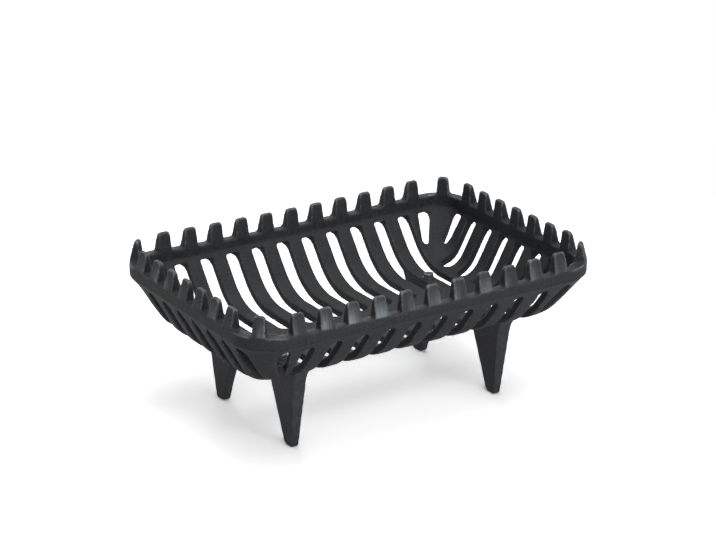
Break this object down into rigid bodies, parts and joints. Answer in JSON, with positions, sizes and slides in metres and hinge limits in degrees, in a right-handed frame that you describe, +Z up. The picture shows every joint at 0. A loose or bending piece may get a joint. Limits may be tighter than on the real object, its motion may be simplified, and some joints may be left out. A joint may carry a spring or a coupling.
{
  "type": "log grate",
  "caption": "Cast-iron fireplace log grate: an open bowl of slotted bars with a toothed rim, bolted on tapered legs.",
  "frame": {"origin": "on the hearth under the middle of the basket, in the plane of the feet's soles", "axes": "+X along the long side, +Y along the short side towards the back, +Z up out of the bowl"},
  "size_m": [0.402, 0.275, 0.1665],
  "materials": {
    "basket_iron": "matt black casting with a satin sheen on the teeth",
    "leg_iron": "matt black casting",
    "fastener_steel": "dull zinc"
  },
  "bodies": {
    "root": {"basket": "basket_iron", "leg_front_left": "leg_iron", "leg_front_right": "leg_iron", "leg_back_left": "leg_iron", "leg_back_right": "leg_iron", "bolt_front_left": "fastener_steel", "bolt_front_right": "fastener_steel", "bolt_back_left": "fastener_steel", "bolt_back_right": "fastener_steel", "washer_front_left": "fastener_steel", "washer_front_right": "fastener_steel", "washer_back_left": "fastener_steel", "washer_back_right": "fastener_steel"}
  },
  "joints": []
}
